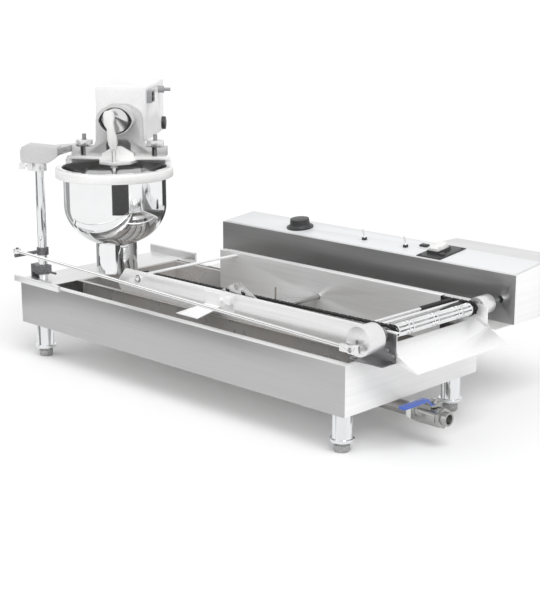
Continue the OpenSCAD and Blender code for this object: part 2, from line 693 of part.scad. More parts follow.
module panel_fittings() color("black") on_stand() {
  on_slope(switch_x, 0) difference() {
    union() {
      slab([-30, 6, panel_t], [30, box_d - 6, panel_t + 2]);
      slab([-21, switch_in - 22, panel_t + 1.99], [7, switch_in + 22, 8]);
    }
    slab([-19, switch_in - 20, panel_t - 1], [5, switch_in + 20, 9]);
    translate([0, switch_in, pivot_z]) along_x(-20.5, 6.5, 1.2 + fit);
  }
  for (x = toggle_x) on_slope(x, toggle_in) translate([0, 0, panel_t]) difference() {
    cylinder(h = 5, r = 6, $fn = 6);
    translate([0, 0, 1.95]) cylinder(h = 4, r = 3.2 + fit);
  }
  on_slope(lamp_x, 68) slab([-9, -6, panel_t], [9, 6, panel_t + 4]);
  for (x = [-25, 25]) for (d = [12, box_d - 12]) on_slope(switch_x + x, d)
    translate([0, 0, panel_t + 1.99]) cylinder(h = 1.5, r = 2.5, $fn = 24);
  on_slope(switch_x + 18, 30) translate([0, 0, panel_t + 1.99]) cylinder(h = 4, r = 6);
}
module main_rocker() color("white") on_stand() on_slope(switch_x - 7, switch_in) {
  yz_sheet(-11, 11, [
    [-4, 2.2], [4, 2.2], [19, 5], [19, 14], [14, 19],
    [4, 15], [-4, 15], [-14, 17], [-19, 13], [-19, 5]
  ]);
  translate([0, 0, pivot_z]) along_x(-13.2, 13.2, 1.2);
}
module thermostat_knob() color("black") on_stand() on_slope(knob_x, knob_in) {
  translate([0, 0, panel_t + eps]) cylinder(h = 3, d = knob_d);
  translate([0, 0, panel_t + eps + 2.99]) cylinder(h = 5, d1 = knob_d - 4, d2 = knob_d - 14);
  translate([0, 0, panel_t + eps + 7.98]) cylinder(h = 12, d1 = knob_d - 15, d2 = knob_d - 18);
  translate([0, 0, -3]) cylinder(h = 6, r = spindle_r);
}
module toggle(i) color("silver") on_stand() on_slope(toggle_x[i], toggle_in)
  translate([0, 0, panel_t + 5.2]) rotate([14, 0, 0]) {
    sphere(r = 3.2);
    cylinder(h = 19, r1 = 1.6, r2 = 2.4);
  }
module toggle_left() toggle(0);
module toggle_right() toggle(1);

// Column, lever and connecting rod
socket_z = deck_top + 13;
column_r = column_d / 2;
module column_bracket() color("darkgray") on_stand() translate([column_in, column_in, 0]) difference() {
  union() {
    translate([0, 0, socket_z]) cylinder(h = 18, r = 18, $fn = 6);
    slab([-34, -9, socket_z], [-12, 9, socket_z + 18]);
    slab([-34, -9, deck_top], [-30, 9, socket_z + 0.01]);
    slab([-34, -9, deck_top], [-16, 9, deck_top + 3]);
    translate([0, 0, socket_z + 6]) along_x(12, 44, 2.5);
  }
  translate([0, 0, socket_z - cut]) cylinder(h = 20, r = column_r + fit);
  translate([0, 0, deck_top - cut]) cylinder(h = 6, r = column_r + 1);
}
module column() color("silver") on_stand() translate([column_in, column_in, deck_top + fit])
  cylinder(h = column_z1 - deck_top - fit, r = column_r);
hub_z = case_top + 57;
hub_h = 16;
lever_z = hub_z + hub_h / 2;
module swing_lever() color("dimgray") on_stand() translate([column_in, column_in, 0]) difference() {
  union() {
    translate([0, 0, hub_z]) cylinder(h = hub_h, r = column_r + 3);
    translate([0, 0, lever_z]) along_y(-lever_l - 6, -column_r - 1, 4);
    translate([0, -lever_l, lever_z]) cylinder(h = 17, r = 3);
  }
  translate([0, 0, hub_z - cut]) cylinder(h = hub_h + 2, r = column_r + fit);
}
rod_a = [column_in, lever_y, lever_z + 9.5];
rod_b = [drive_x, drum_y0 - 16, drive_z - crank_throw];
rod_v = rod_b - rod_a;
rod_n = norm(rod_v);
module connecting_rod() color("silver") on_stand() {
  translate(rod_a + rod_v * 6 / rod_n) rotate([0, acos(rod_v[2] / rod_n), atan2(rod_v[1], rod_v[0])])
    cylinder(h = rod_n - 20, r = rod_d / 2);
  translate([rod_a[0], rod_a[1], rod_a[2] - 5]) difference() {
    cylinder(h = 10, r = rod_end_r);
    translate([0, 0, -cut]) cylinder(h = 12, r = 3 + fit);
  }
  translate(rod_b) difference() {
    union() {
      slab([-24, -6, -6], [-4, 6, 7]);
      slab([-5, -6, -7], [13, 7, 8]);
    }
    along_y(-8, 8, 4.5);
  }
}

// Arm and its clamp on the column
clamp_z = column_z1 - 18;
module column_clamp() color("silver") on_stand() on_arm() difference() {
  union() {
    translate([0, 0, clamp_z]) cylinder(h = 18, r = column_r + 6);
    slab([-24, -9, clamp_z], [0, 9, clamp_z + 18]);
  }
  translate([0, 0, clamp_z - cut]) cylinder(h = 20, r = column_r + fit);
  translate([0, 0, clamp_z + 9]) along_x(-30, -column_r + 2, 3 + fit);
}
module clamp_screw() color("silver") on_stand() on_arm() translate([0, 0, clamp_z + 9]) {
  along_x(-34, -column_r - 0.5, 3);
  slab([-44, -2, -7], [-33, 2, 7]);
}
arm_z0 = column_z1;
arm_z1 = arm_z0 + 40;
beam_z0 = arm_z0 + 17;
beam_z1 = ear_top + 3;
beam_x1 = arm_reach - 105;
module arm() color("gainsboro") on_stand() on_arm() {
  xz_sheet(-19, 19, [
    [-36, arm_z0 + 8], [-34, arm_z0 + 2], [-28, arm_z0], [24, arm_z0], [46, beam_z0],
    [46, beam_z1 + 3], [-22, arm_z1], [-32, arm_z1 - 5], [-36, arm_z1 - 14]
  ]);
  translate([0, 0, beam_z0]) linear_extrude(beam_z1 - beam_z0) polygon([
    [0, 18], [40, -19], [46, -19], [beam_x1, yoke_y0 + 2], [beam_x1, yoke_y0 + yoke_t - 4], [30, yoke_y0 + 10]
  ]);
  translate([0, 0, arm_z0 + 14]) along_x(-40, -20, 3);
}

// Yoke over the hopper, with the crank housing
house_y0 = 22;
eye_w = 49;
eye_top = 31;
eye_wall = 3;
house_deep = 30;
lens_r = 38;
lens_d = 9.5;
output_r = 8;
module lens(wall = 0) intersection() {
  translate([0, lens_d]) circle(r = lens_r + wall);
  translate([0, -lens_d]) circle(r = lens_r + wall);
}
module yoke() color("gainsboro") on_stand() on_arm() translate([arm_reach, 0, 0]) difference() {
  union() {
    xz_sheet(yoke_y0, yoke_y0 + yoke_t, [
      [-105, bridge_z1], [-27, bridge_z1], [-27, crank_z - 52], [-20, crank_z - 43], [20, crank_z - 43],
      [27, crank_z - 52], [27, bridge_z1], [103, bridge_z1], [103, ear_top],
      [eye_w + 13, ear_top], [eye_w + 5, ear_top + 4], [eye_w + 1, ear_top + 14], [eye_w, crank_z - 2],
      [eye_w - 4, crank_z + 12], [eye_w - 15, crank_z + 23], [eye_w - 31, crank_z + eye_top],
      [31 - eye_w, crank_z + eye_top], [15 - eye_w, crank_z + 23], [4 - eye_w, crank_z + 12],
      [-eye_w, crank_z - 2], [-eye_w - 1, ear_top + 14], [-eye_w - 5, ear_top + 4], [-eye_w - 13, ear_top],
      [-91, ear_top], [-95, beam_z1], [-105, beam_z1]
    ]);
    slab([-28, yoke_y0 + yoke_t - 6, bridge_z1], [28, yoke_y0 + yoke_t, crank_z - 40]);
    translate([0, yoke_y0 + 1, crank_z]) rotate([90, 0, 0]) linear_extrude(yoke_y0 + 1 - house_y0)
      lens(eye_wall);
  }
  for (s = [-nut_x, nut_x]) translate([s, 0, 0]) {
    slab([-5.5, yoke_y0 - cut, bridge_z1 - cut], [5.5, nut_y, ear_top + cut]);
    translate([0, nut_y, bridge_z1 - cut]) cylinder(h = ear_h + 2, r = 5.5);
  }
  translate([0, house_y0 + house_deep, crank_z]) rotate([90, 0, 0]) linear_extrude(house_deep + cut) lens();
  translate([0, 0, crank_z]) along_y(house_y0 + 10, head_y0 + cut, output_r + 3);
}

// Plunger drive: crank, link, plunger rod and piston
pin_a = 130;
pin_x = plunger_throw * cos(pin_a);
pin_z = plunger_throw * sin(pin_a);
link_t = 14;
module head_crank() color("silver") on_stand() on_arm() translate([arm_reach, 0, crank_z]) {
  along_y(house_y0 + 4, house_y0 + 18, 27);
  along_y(house_y0 + 17.99, head_y0 + 26, output_r);
  translate([pin_x, 0, pin_z]) along_y(link_t / 2 + eps, house_y0 + 4.01, 6);
}
low_pin_z = crank_z + pin_z - sqrt(link_l * link_l - pin_x * pin_x);
link_a = asin(pin_x / link_l);
low_pin_r = 3;
eye_r = 6;
tang = 3;
module plunger_link() color("white") on_stand() on_arm() translate([arm_reach, 0, low_pin_z])
  rotate([0, link_a, 0]) difference() {
    union() {
      along_y(-link_t / 2, link_t / 2, eye_r);
      xz_sheet(-link_t / 2, link_t / 2, [
        [-6, 0], [6, 0], [9, 10], [9.5, 22], [7.5, 38], [8, link_l - 14], [11, link_l - 2],
        [11, link_l + 7], [7, link_l + 14], [-7, link_l + 14], [-11, link_l + 7],
        [-11, link_l - 2], [-8, link_l - 14], [-7.5, 38], [-9.5, 22], [-9, 10]
      ]);
    }
    slab([-12, -tang - eps, -8], [12, tang + eps, 10]);
    along_y(-link_t, link_t, low_pin_r + fit);
  }
plunger_r = 5;
neck_z0 = case_top + neck_clear;
piston_z = neck_z0 + 28;
cyl_r = 24;
module plunger_rod() color("silver") on_stand() on_arm() translate([arm_reach, 0, 0]) {
  slab([-5, -tang, low_pin_z - 6.2], [5, tang, low_pin_z + 5]);
  translate([0, 0, low_pin_z]) along_y(-link_t / 2, link_t / 2, low_pin_r);
  translate([0, 0, piston_z]) cylinder(h = low_pin_z - 6.19 - piston_z, r = plunger_r);
}
module piston() color("white") on_stand() on_arm() translate([arm_reach, 0, neck_z0]) {
  difference() {
    translate([0, 0, 28]) cylinder(h = 18, r = cyl_r - fit);
    translate([0, 0, 28]) cylinder(h = 20, r = plunger_r + fit);
  }
  translate([0, 0, 6.99]) cylinder(h = 21.02, r = plunger_r);
  translate([0, 0, 4]) cylinder(h = 3, r = 18);
}

// Hopper
bowl_r = bowl_d / 2;
neck_r = neck_d / 2;
round_z = ring_z1 - bowl_straight;
rim_r = bowl_r + 10;
function arc(r, h, n) = [for (k = [0:n]) let(t = 90 * k / n) [r * cos(t), round_z - h * sin(t)]];
function low_z_of(r, h, n) = round_z - h * sin(acos(n / r));
function rev(v) = [for (i = [len(v) - 1:-1:0]) v[i]];
outer_curve = [for (p = arc(bowl_r, bowl_round, 40)) if (p[0] > neck_r) p];
inner_curve = [for (p = arc(bowl_r - sheet, bowl_round - sheet, 40)) if (p[0] > neck_r - sheet) p];
module hopper_bowl() color("silver") on_stand() on_arm() translate([arm_reach, 0, 0])
  rotate_extrude($fn = 96) polygon(concat(
    [[rim_r, ring_z1 + sheet], [rim_r, ring_z1], [bowl_r, ring_z1]],
    outer_curve,
    [[neck_r, low_z_of(bowl_r, bowl_round, neck_r)], [neck_r, neck_z0], [neck_r - sheet, neck_z0]],
    [[neck_r - sheet, low_z_of(bowl_r - sheet, bowl_round - sheet, neck_r - sheet)]],
    rev(inner_curve),
    [[bowl_r - sheet, ring_z1 + sheet]]
  ));
module hopper_ring() color("whitesmoke") on_stand() on_arm() translate([arm_reach, 0, 0])
  rotate_extrude($fn = 96) polygon([
    [bowl_r + eps, ring_z0], [ring_d / 2 - 2, ring_z0], [ring_d / 2, ring_z0 + 2],
    [ring_d / 2, ring_z1 - 2], [ring_d / 2 - 2, ring_z1], [bowl_r + eps, ring_z1]
  ]);
bridge_y0 = 38;
bridge_z0 = ring_z1 + sheet;
tab_z1 = bridge_z1 - bridge_t;
guide_h = 12;
module hopper_bridge() color("whitesmoke") on_stand() on_arm() translate([arm_reach, 0, 0]) difference() {
  union() {
    translate([0, 0, tab_z1]) linear_extrude(bridge_t) polygon([
      [-114, bridge_y0 + 4], [-36, bridge_y0], [36, bridge_y0], [114, bridge_y0 + 4],
      [112, 56], [100, 78], [82, 96], [56, 112], [-56, 112], [-82, 96], [-100, 78], [-112, 56]
    ]);
    difference() {
      intersection() {
        translate([0, 0, bridge_z0]) cylinder(h = tab_z1 - bridge_z0 + 0.01, r = rim_r + 4, $fn = 96);
        slab([-130, bridge_y0 + 7, bridge_z0 - cut], [130, 130, bridge_z1]);
      }
      translate([0, 0, bridge_z0 - cut]) cylinder(h = 20, r = bowl_r + 1, $fn = 96);
    }
    translate([0, 0, tab_z1 - bridge_t]) linear_extrude(bridge_t + 0.01) polygon([
      [-42, bridge_y0 + 10], [-34, 8], [-10, -9], [10, -9], [34, 8], [42, bridge_y0 + 10]
    ]);
    translate([0, 0, tab_z1 - guide_h]) cylinder(h = guide_h, r = 8);
    xz_sheet(yoke_y0 - 10, yoke_y0 - 2, [
      [-35, bridge_z1 - 0.01], [35, bridge_z1 - 0.01], [35, bridge_z1 + 7], [8, bridge_z1 + 23],
      [-8, bridge_z1 + 23], [-35, bridge_z1 + 7]
    ]);
  }
  translate([0, 0, tab_z1 - guide_h - cut]) cylinder(h = guide_h + 2, r = plunger_r + fit);
}
module forming_cylinder() color("gainsboro") on_stand() on_arm() translate([arm_reach, 0, neck_z0])
  rotate_extrude($fn = 96) polygon([
    [cyl_r, 0], [neck_r - sheet - eps, 0], [neck_r - sheet - eps, 4],
    [cyl_r + 2, 4], [cyl_r + 2, 50], [cyl_r, 50]
  ]);
nut_h = 10;
module swing_bolts() color("dimgray") on_stand() on_arm() for (s = [-nut_x, nut_x])
  translate([arm_reach + s, nut_y, bridge_z1]) cylinder(h = ear_h + nut_h + 17, r = 4.5);
module ring_nut(s) color("gainsboro") on_stand() on_arm()
  translate([arm_reach + s, nut_y, ear_top]) difference() {
  union() {
    cylinder(h = 4.01, r = 9);
    translate([0, 0, 4]) cylinder(h = nut_h, r = 19);
  }
  translate([0, 0, -cut]) cylinder(h = nut_h + 6, r = 4.5 + fit);
}
module ring_nut_left() ring_nut(-nut_x);
module ring_nut_right() ring_nut(nut_x);

// Head housing with its switch, cable gland and motor
head_z0 = crank_z - 51;
head_z1 = case_top + head_top;
side_x = head_w / 2;
rocker_y = head_y0 + 37;
rocker_z = head_z1 - 19;
module head_housing() color("whitesmoke") on_stand() on_arm() translate([arm_reach, 0, 0]) difference() {
  union() {
    slab([-side_x, head_y0, head_z0], [side_x, head_y0 + head_d, head_z1]);
    slab([-side_x - lid_over, head_y0, head_z1 - 8],
      [side_x + lid_over, head_y0 + head_d + lid_over, head_z1 + lid_over]);
    for (x = [-30, 30]) translate([x, head_y0 + 40, head_z1]) cylinder(h = lid_over + 1.5, r = 3);
    translate([0, head_y0 + head_d - 22, head_z0 + 17]) along_x(side_x - 1, side_x + 8, 15);
    translate([0, head_y0 + 164, head_z1 - 18]) {
      along_x(side_x - 1, side_x + 13, 8);
      along_x(side_x, side_x + 28, 4);
    }
    slab([side_x - 0.01, rocker_y - 23, rocker_z - 16], [side_x + 10, rocker_y + 23, rocker_z + 10]);
    slab([side_x - 0.01, rocker_y + 22.99, rocker_z - 14], [side_x + 1.5, rocker_y + 80, rocker_z + 8]);
  }
  slab([-side_x + sheet, head_y0 + sheet, head_z0 + sheet],
    [side_x - sheet, head_y0 + head_d - sheet, head_z1 - sheet]);
  translate([0, 0, crank_z]) along_y(head_y0 - cut, head_y0 + 3, output_r + 3);
  slab([side_x + 4, rocker_y - 12, rocker_z - 13], [side_x + 12, rocker_y + 12, rocker_z + 8]);
  translate([side_x + 7.5, 0, rocker_z - 2.5]) along_y(rocker_y - 14, rocker_y + 14, 1.2 + fit);
}
module head_motor() color("dimgray") on_stand() on_arm() translate([arm_reach, 0, crank_z]) {
  difference() {
    slab([-34, head_y0 + sheet, -40], [34, head_y0 + 60, 30]);
    along_y(head_y0, head_y0 + 30, output_r + fit);
  }
  along_y(head_y0 + 59.99, head_y0 + head_d - 20, 32);
  slab([-20, head_y0 + 70, head_z0 + sheet - crank_z], [20, head_y0 + head_d - 30, -25]);
}
module head_rocker() color("black") on_stand() on_arm()
  translate([arm_reach + side_x + 7.5, rocker_y, rocker_z - 2.5]) {
  xz_sheet(-11, 11, [[-3, -2], [-1, -9.5], [3, -9.5], [5, -6], [3, 0], [5, 6], [3, 9.5], [-1, 9.5], [-3, 2]]);
  along_y(-13.5, 13.5, 1.2);
}

case_shell();
leg_tubes();
foot_front_left();
foot_front_right();
foot_rear_left();
foot_rear_right();
left_deck();
fry_tank();
heating_element();
front_side_plate();
rear_side_plate();
end_bracket();
shaft_bearings();
frame_bolts();
chain_guides();
chains();
push_rods();
discharge_chute();
drive_shaft();
shaft_drums();
outfeed_drum();
idle_shaft();
flipper();
flipper_stop();
drain_pipe();
valve_body();
valve_ball();
valve_lever();
box_shelf();
control_box();
gear_housing();
control_panel();
gear_motor();
panel_fittings();
main_rocker();
thermostat_knob();
toggle_left();
toggle_right();
column_bracket();
column();
swing_lever();
connecting_rod();
column_clamp();
clamp_screw();
arm();
yoke();
head_crank();
plunger_link();
plunger_rod();
piston();
hopper_ring();
hopper_bowl();
hopper_bridge();
forming_cylinder();
swing_bolts();
ring_nut_left();
ring_nut_right();
head_housing();
head_motor();
head_rocker();
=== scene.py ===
import bpy
import bmesh
import math
from mathutils import Matrix, Vector


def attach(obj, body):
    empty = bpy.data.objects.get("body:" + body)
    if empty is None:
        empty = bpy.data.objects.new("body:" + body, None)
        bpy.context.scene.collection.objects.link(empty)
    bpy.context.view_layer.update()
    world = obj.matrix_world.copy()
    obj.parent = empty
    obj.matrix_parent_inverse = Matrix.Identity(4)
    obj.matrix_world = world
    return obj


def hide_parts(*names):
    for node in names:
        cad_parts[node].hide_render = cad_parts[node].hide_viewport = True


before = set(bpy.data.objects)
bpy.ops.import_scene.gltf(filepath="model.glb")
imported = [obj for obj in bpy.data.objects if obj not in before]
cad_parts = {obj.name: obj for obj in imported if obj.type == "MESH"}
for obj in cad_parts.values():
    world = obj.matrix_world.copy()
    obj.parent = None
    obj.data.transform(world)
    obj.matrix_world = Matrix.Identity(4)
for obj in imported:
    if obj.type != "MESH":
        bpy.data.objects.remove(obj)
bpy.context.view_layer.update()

# Studio. The camera stands where the photograph was taken, front right and a little above.
# Its place and lens come from the case's, shelf's and control box's edges in the photograph.
camera = bpy.data.objects.new("photo_camera", bpy.data.cameras.new("photo_camera"))
bpy.context.collection.objects.link(camera)
camera.data.lens = 80.76
camera.data.sensor_width = 36
camera.data.clip_end = 200
ahead = Vector((-0.67661, 0.69536, -0.24222)).normalized()
right = Vector((0.7167, 0.6974, 0)).normalized()
above = right.cross(ahead)
camera.matrix_world = Matrix((
    (right.x, above.x, -ahead.x, 1.929787),
    (right.y, above.y, -ahead.y, -1.9758),
    (right.z, above.z, -ahead.z, 0.850),
    (0, 0, 0, 1),
))
bpy.context.scene.camera = camera
bpy.context.scene.view_settings.view_transform = "Standard"

# The room is a white sweep. What the lens, metal and glass see of it is white, and the light that
# it gives off is softer, so that colours render about as they are written.
room = bpy.data.worlds.new("white_room")
bpy.context.scene.world = room
room.use_nodes = True
tree = room.node_tree
tree.nodes.clear()
sees = tree.nodes.new("ShaderNodeLightPath")
lens_or_gloss = tree.nodes.new("ShaderNodeMath")
lens_or_gloss.operation = "MAXIMUM"
any_direct = tree.nodes.new("ShaderNodeMath")
any_direct.operation = "MAXIMUM"
tree.links.new(sees.outputs["Is Camera Ray"], lens_or_gloss.inputs[0])
tree.links.new(sees.outputs["Is Glossy Ray"], lens_or_gloss.inputs[1])
tree.links.new(lens_or_gloss.outputs[0], any_direct.inputs[0])
tree.links.new(sees.outputs["Is Transmission Ray"], any_direct.inputs[1])
glow = tree.nodes.new("ShaderNodeBackground")
glow.inputs["Color"].default_value = (1, 1, 1, 1)
glow.inputs["Strength"].default_value = 0.6
white = tree.nodes.new("ShaderNodeBackground")
white.inputs["Color"].default_value = (1, 1, 1, 1)
white.inputs["Strength"].default_value = 1
choose = tree.nodes.new("ShaderNodeMixShader")
tree.links.new(any_direct.outputs[0], choose.inputs[0])
tree.links.new(glow.outputs[0], choose.inputs[1])
tree.links.new(white.outputs[0], choose.inputs[2])
tree.links.new(choose.outputs[0], tree.nodes.new("ShaderNodeOutputWorld").inputs[0])
for name, power, spread, aim in (
    ("window_light", 1.5, 38, (-0.62, 0.28, -1.0)),
    ("fill_light", 0.45, 60, (0.5, 0.75, -0.7)),
):
    lamp = bpy.data.objects.new(name, bpy.data.lights.new(name, "SUN"))
    bpy.context.collection.objects.link(lamp)
    lamp.data.energy = power
    lamp.data.angle = math.radians(spread)
    lamp.rotation_mode = "QUATERNION"
    lamp.rotation_quaternion = Vector(aim).to_track_quat("-Z", "Y")

# The floor is matt white paper, large enough to reach past every view. It has next to no gloss, so
# it takes the soft shadow under the case and no mirror image.
paper = bpy.data.materials.new("white_paper")
paper.use_nodes = True
matt = paper.node_tree.nodes["Principled BSDF"]
matt.inputs["Base Color"].default_value = (0.96, 0.96, 0.96, 1)
matt.inputs["Roughness"].default_value = 0.95
matt.inputs["Specular IOR Level"].default_value = 0.1
floor_mesh = bpy.data.meshes.new("paper_floor")
floor_mesh.from_pydata([(-60, -60, 0), (60, -60, 0), (60, 60, 0), (-60, 60, 0)], [], [(0, 1, 2, 3)])
floor_mesh.materials.append(paper)
floor = bpy.data.objects.new("paper_floor", floor_mesh)
bpy.context.collection.objects.link(floor)

# Grey and black cards lie and stand round the set, as in a metal shoot. Only shiny metal sees them.
# The dark ones before and behind band the bowl, column and legs, and the tall one shades the front.
BOWL_X, BOWL_Y = -0.3217, -0.1432
CARD_FAR = 4


def low_card(near, first, last):
    """Corners of a card lying round the hopper's axis, from near outwards, between two angles."""
    spots = ((first, near), (last, near), (last, CARD_FAR), (first, CARD_FAR))
    return [
        (BOWL_X + reach * math.cos(turn), BOWL_Y + reach * math.sin(turn), 0.02)
        for turn, reach in ((math.radians(angle), reach) for angle, reach in spots)
    ]


for name, tone, corners in (
    ("grey_card", 0.30, [(-3.6, -1.6, 0), (-1.2, -3.6, 0), (-1.2, -3.6, 1.6), (-3.6, -1.6, 1.6)]),
    ("dark_card_front", 0.02, low_card(1, -46, -10)),
    ("black_card_rear", 0.01, low_card(0.7, 87, 116)),
    ("grey_card_left", 0.30, low_card(0.6, 170, 205)),
):
    card_paint = bpy.data.materials.new(name)
    card_paint.use_nodes = True
    dull = card_paint.node_tree.nodes["Principled BSDF"]
    dull.inputs["Base Color"].default_value = (tone, tone, tone, 1)
    dull.inputs["Roughness"].default_value = 1
    card_mesh = bpy.data.meshes.new(name)
    card_mesh.from_pydata(corners, [], [(0, 1, 2, 3)])
    card_mesh.materials.append(card_paint)
    card = bpy.data.objects.new(name, card_mesh)
    bpy.context.collection.objects.link(card)
    card.visible_camera = False
    card.visible_diffuse = False
    card.visible_shadow = False

# Case. A folded box of brushed stainless sheet, with its rims turned in and two rails for the tank.
# The grinding marks run along the sheet and its folds are eased a little. Its front and rear carry
# painted shade, and its gutters and right end carry painted light.
SHARP = math.radians(35)
FLAT = math.radians(0.6)


def bare_finish(name, metallic):
    """A new material and its shader, before any pattern is put on it."""
    finish = bpy.data.materials.new(name)
    finish.use_nodes = True
    shader = finish.node_tree.nodes["Principled BSDF"]
    shader.inputs["Metallic"].default_value = metallic
    return finish, shader


def noise(finish, scale, detail, marks=None):
    """A noise pattern on the solid; marks stretch it to their counts per metre along x, y, z."""
    nodes, links = finish.node_tree.nodes, finish.node_tree.links
    place = nodes.new("ShaderNodeTexCoord").outputs["Object"]
    if marks:
        stretch = nodes.new("ShaderNodeMapping")
        stretch.inputs["Scale"].default_value = marks
        links.new(place, stretch.inputs["Vector"])
        place = stretch.outputs["Vector"]
    pattern = nodes.new("ShaderNodeTexNoise")
    pattern.inputs["Scale"].default_value = scale
    pattern.inputs["Detail"].default_value = detail
    links.new(place, pattern.inputs["Vector"])
    return pattern.outputs["Fac"]


def tinted(finish, pattern, target, colour, darker, lighter, first=0, last=1):
    """Shades the colour from darker to lighter where the pattern runs from first to last."""
    tint = finish.node_tree.nodes.new("ShaderNodeValToRGB")
    for stop, place, shade in zip(tint.color_ramp.elements, (first, last), (darker, lighter)):
        stop.position = place
        stop.color = (*[min(1, c * shade) for c in colour], 1)
    finish.node_tree.links.new(pattern, tint.inputs["Fac"])
    finish.node_tree.links.new(tint.outputs["Color"], target)


def mapped(finish, pattern, target, low, high, first=0, last=1):
    """Drives the target from low to high where the pattern runs from first to last."""
    scaled = finish.node_tree.nodes.new("ShaderNodeMapRange")
    scaled.inputs["From Min"].default_value = first
    scaled.inputs["From Max"].default_value = last
    scaled.inputs["To Min"].default_value = low
    scaled.inputs["To Max"].default_value = high
    finish.node_tree.links.new(pattern, scaled.inputs["Value"])
    finish.node_tree.links.new(scaled.outputs["Result"], target)


def bumped(finish, pattern, shader, depth, distance):
    """Raises the pattern as a fine relief of the surface."""
    relief = finish.node_tree.nodes.new("ShaderNodeBump")
    relief.inputs["Strength"].default_value = depth
    relief.inputs["Distance"].default_value = distance
    finish.node_tree.links.new(pattern, relief.inputs["Height"])
    finish.node_tree.links.new(relief.outputs["Normal"], shader.inputs["Normal"])


def brushed_steel(name, colour, rough, marks=(5, 520, 520), stain=None, metallic=1.0):
    """Stainless sheet with fine grinding marks, browned in patches where a stain is given."""
    finish, metal = bare_finish(name, metallic)
    grind = noise(finish, 1, 3, marks)
    smear = noise(finish, 7, 4)
    base = metal.inputs["Base Color"]
    if stain:
        warm = finish.node_tree.nodes.new("ShaderNodeMix")
        warm.data_type = "RGBA"
        warm.inputs["B"].default_value = (*stain, 1)
        mapped(finish, smear, warm.inputs["Factor"], 0, 0.65, 0.48, 0.72)
        finish.node_tree.links.new(warm.outputs["Result"], base)
        base = warm.inputs["A"]
    tinted(finish, grind, base, colour, 0.95, 1.03, 0.3, 0.7)
    mapped(finish, smear, metal.inputs["Roughness"], rough - 0.06, rough + 0.08)
    bumped(finish, grind, metal, 0.05, 0.0004)
    return finish


def eased(node, body, slot, *finishes, edge=0.0005, pick=None):
    """A copy of a solid with its corners slightly rounded, as folded, filed or cast parts are."""
    shape = bmesh.new()
    shape.from_mesh(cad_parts[node].data)
    bmesh.ops.remove_doubles(shape, verts=shape.verts, dist=1e-6)
    bmesh.ops.dissolve_limit(shape, angle_limit=FLAT, verts=shape.verts, edges=shape.edges)
    mesh = bpy.data.meshes.new(node + "_eased")
    shape.to_mesh(mesh)
    shape.free()
    if "custom_normal" in mesh.attributes:
        mesh.attributes.remove(mesh.attributes["custom_normal"])
    mesh.materials.clear()
    for finish in finishes:
        mesh.materials.append(finish)
    piece = bpy.data.objects.new(node + "_eased", mesh)
    bpy.context.collection.objects.link(piece)
    if edge:
        round_off = piece.modifiers.new("edge", "BEVEL")
        round_off.width = edge
        round_off.segments = 2
        round_off.limit_method = "ANGLE"
        round_off.angle_limit = SHARP
        seen = bpy.context.evaluated_depsgraph_get()
        mesh = bpy.data.meshes.new_from_object(piece.evaluated_get(seen))
        piece.modifiers.clear()
        piece.data = mesh
    mesh.polygons.foreach_set("use_smooth", [True] * len(mesh.polygons))
    mesh.set_sharp_from_angle(angle=SHARP)
    if pick:
        for face in mesh.polygons:
            face.material_index = pick(face.center)
    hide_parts(node)
    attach(piece, body)
    return piece


CASE_LEFT, CASE_FRONT = -0.485913, -0.283


def case_point(x, y, z):
    """A point in millimetres from the case's front left corner, in the frame's metres."""
    return Vector((x / 1000 + CASE_LEFT, y / 1000 + CASE_FRONT, z / 1000))


# Painted light and shade: one stainless sheet in three tones. It is dark on the front and rear as
# if shaded, light in the gutters and shelf as if lit, and lightest on the right ends.
shaded_case_steel = brushed_steel("shaded_case_steel", (0.50, 0.50, 0.50), 0.34)
lit_sheet_steel = brushed_steel("lit_sheet_steel", (0.86, 0.86, 0.855), 0.32, metallic=0.45)
lit_end_steel = brushed_steel("lit_end_steel", (0.93, 0.93, 0.93), 0.36, marks=(520, 5, 520), metallic=0.25)
front_face = case_point(0, 0.8, 0).y
rear_face = case_point(0, 390.2, 0).y
end_face = case_point(949.2, 0, 0).x


def case_light_and_shade(p):
    """Painted shade darkens the front and rear, and painted light brightens the gutters and the
    right end.
    """
    return 0 if p.y < front_face or p.y > rear_face else 2 if p.x > end_face else 1


eased(
    "case_shell", "base", "case_sheet", shaded_case_steel, lit_sheet_steel, lit_end_steel,
    edge=0.0009, pick=case_light_and_shade,
)

# Deck. The plate under the hopper, with a splash lip folded up at the front and the rear.
# It is a separate sheet that lies on the case's rim.
deck_steel = brushed_steel(
    "deck_steel", (0.82, 0.82, 0.82), 0.30, marks=(380, 8, 380), metallic=0.7
)
eased("left_deck", "base", "case_sheet", deck_steel, edge=0.0006)

# Tank. A deep drawn pan of thinner steel, browned in patches by hot oil, that hangs by its rim.
# The heating tubes lie near its floor in two long bends, with the temperature probe beside them.
tank_steel = brushed_steel(
    "tank_steel", (0.50, 0.49, 0.48), 0.26, marks=(7, 160, 160),
    stain=(0.55, 0.49, 0.45), metallic=0.3,
)
eased("fry_tank", "base", "tank_sheet", tank_steel, edge=0.0006)


def dark_metal(name, colour, rough, lumps, depth=0.3):
    """Oxidised, blackened or painted steel with an uneven skin; lumps is their count per metre."""
    finish, skin = bare_finish(name, 0.6)
    grit = noise(finish, lumps, 5)
    tinted(finish, grit, skin.inputs["Base Color"], colour, 0.7, 1.25, 0.35, 0.7)
    mapped(finish, grit, skin.inputs["Roughness"], rough - 0.1, rough + 0.12)
    bumped(finish, grit, skin, depth, 0.0003)
    return finish


heater_skin = dark_metal("heater_skin", (0.23, 0.21, 0.19), 0.5, 260)
eased("heating_element", "base", "heater_steel", heater_skin, edge=0.0003)

# Legs. Polished tubes welded under the case, each with a turned bead at its lower end.
# A zinc-plated screw foot with a spanner hexagon goes up into each bead.


